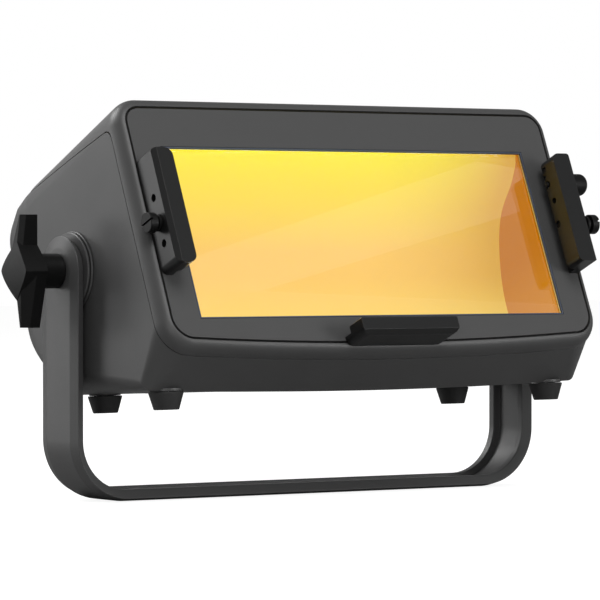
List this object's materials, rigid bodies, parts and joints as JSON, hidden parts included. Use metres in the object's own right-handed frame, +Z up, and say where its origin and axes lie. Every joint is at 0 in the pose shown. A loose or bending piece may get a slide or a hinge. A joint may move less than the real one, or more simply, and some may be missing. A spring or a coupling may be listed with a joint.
{
  "type": "stage floodlight",
  "caption": "Wide LED stage floodlight with an asymmetric reflector behind a flat window, frame brackets, rubber feet and a tilting yoke with clamp knobs.",
  "frame": {"origin": "centre of the bolt hole at the outer bottom face of the yoke's bar", "axes": "+Z up, -Y is the way the window faces when the housing is upright, +X is the right of someone who looks at the window"},
  "size_m": [0.5348, 0.2871, 0.319],
  "materials": {
    "housing_black": "matt black powder coat on a cast shell",
    "plate_black": "fine textured black powder coat",
    "yoke_black": "satin black powder coat on an extruded strip",
    "bracket_black": "satin black powder coat",
    "knob_black": "moulded black plastic",
    "rubber_black": "soft black rubber",
    "seal_blue_black": "dark seal that looks blue at its edge",
    "window_glass": "clear toughened glass",
    "screen": "dark clear screen",
    "steel": "zinc plated steel",
    "washer_fibre": "black friction fibre",
    "bright_aluminium": "bright rolled aluminium",
    "led_white": "white solder mask",
    "board_green": "green circuit board",
    "panel_black": "black sheet metal",
    "inlet_blue": "blue moulding",
    "outlet_grey": "light grey moulding"
  },
  "bodies": {
    "yoke": {"yoke": "yoke_black", "yoke_disc_left": "bracket_black", "yoke_disc_right": "bracket_black"},
    "housing": {"base_shell": "housing_black", "data_inlet": "panel_black", "data_outlet": "panel_black", "display_window": "screen", "driver_board": "board_green", "fan_frame": "knob_black", "foot_front_left": "rubber_black", "foot_front_right": "rubber_black", "foot_rear_left": "rubber_black", "foot_rear_right": "rubber_black", "foot_screw_front_left": "steel", "foot_screw_front_right": "steel", "foot_screw_rear_left": "steel", "foot_screw_rear_right": "steel", "frame_bracket_bottom": "bracket_black", "frame_bracket_left": "bracket_black", "frame_bracket_right": "bracket_black", "friction_washer_left": "washer_fibre", "friction_washer_right": "washer_fibre", "front_plate": "plate_black", "glass_retainer": "steel", "hood": "housing_black", "knob_stud_left": "steel", "knob_stud_right": "steel", "led_board": "led_white", "led_heat_sink": "bright_aluminium", "pivot_disc_left": "bracket_black", "pivot_disc_right": "bracket_black", "pivot_plate_left": "steel", "pivot_plate_right": "steel", "power_inlet": "inlet_blue", "power_outlet": "outlet_grey", "power_supply": "bright_aluminium", "rear_panel": "panel_black", "reflector": "bright_aluminium", "reflector_end_left": "bright_aluminium", "reflector_end_right": "bright_aluminium", "safety_eye": "steel", "service_plate": "housing_black", "window_gasket": "seal_blue_black", "window_glass": "window_glass"},
    "tilt_knob_left": {"tilt_knob_left": "knob_black"},
    "tilt_knob_right": {"tilt_knob_right": "knob_black"},
    "thumb_screw_left": {"thumb_screw_left": "knob_black"},
    "thumb_screw_right": {"thumb_screw_right": "knob_black"},
    "frame_latch": {"latch_knob": "knob_black", "latch_pin": "steel"},
    "fan_rotor": {"fan_rotor": "knob_black"},
    "menu_button_1": {"menu_button_1": "rubber_black"},
    "menu_button_2": {"menu_button_2": "rubber_black"},
    "menu_button_3": {"menu_button_3": "rubber_black"},
    "menu_button_4": {"menu_button_4": "rubber_black"}
  },
  "joints": [
    {"name": "housing_tilt", "type": "hinge", "parent": "yoke", "child": "housing", "pos_m": [0, 0, 0.184], "axis": [-1, 0, 0], "range_deg": [-80, 130]},
    {"name": "tilt_knob_left_turn", "type": "hinge", "parent": "yoke", "child": "tilt_knob_left", "pos_m": [-0.247, 0, 0.184], "axis": [-1, 0, 0], "range_deg": [0, 720]},
    {"name": "tilt_knob_right_turn", "type": "hinge", "parent": "yoke", "child": "tilt_knob_right", "pos_m": [0.247, 0, 0.184], "axis": [1, 0, 0], "range_deg": [0, 720]},
    {"name": "thumb_screw_left_turn", "type": "hinge", "parent": "housing", "child": "thumb_screw_left", "pos_m": [-0.204, -0.11442, 0.22186], "axis": [-1, 0, 0], "range_deg": [0, 1800]},
    {"name": "thumb_screw_right_turn", "type": "hinge", "parent": "housing", "child": "thumb_screw_right", "pos_m": [0.213, -0.11442, 0.22186], "axis": [1, 0, 0], "range_deg": [-1800, 720]},
    {"name": "frame_latch_pull", "type": "slide", "parent": "housing", "child": "frame_latch", "axis": [1, 0, 0], "range_m": [0, 0.006], "stiffness_N_per_m": 600, "springref_m": -0.004},
    {"name": "fan_spin", "type": "hinge", "parent": "housing", "child": "fan_rotor", "pos_m": [0.1, 0.08767, 0.16309], "axis": [0, 0.9161, -0.401], "continuous": true},
    {"name": "menu_button_1_press", "type": "slide", "parent": "housing", "child": "menu_button_1", "axis": [0, -0.9161, 0.401], "range_m": [0, 0.001], "stiffness_N_per_m": 800, "springref_m": -0.0005},
    {"name": "menu_button_2_press", "type": "slide", "parent": "housing", "child": "menu_button_2", "axis": [0, -0.9161, 0.401], "range_m": [0, 0.001], "stiffness_N_per_m": 800, "springref_m": -0.0005},
    {"name": "menu_button_3_press", "type": "slide", "parent": "housing", "child": "menu_button_3", "axis": [0, -0.9161, 0.401], "range_m": [0, 0.001], "stiffness_N_per_m": 800, "springref_m": -0.0005},
    {"name": "menu_button_4_press", "type": "slide", "parent": "housing", "child": "menu_button_4", "axis": [0, -0.9161, 0.401], "range_m": [0, 0.001], "stiffness_N_per_m": 800, "springref_m": -0.0005}
  ]
}
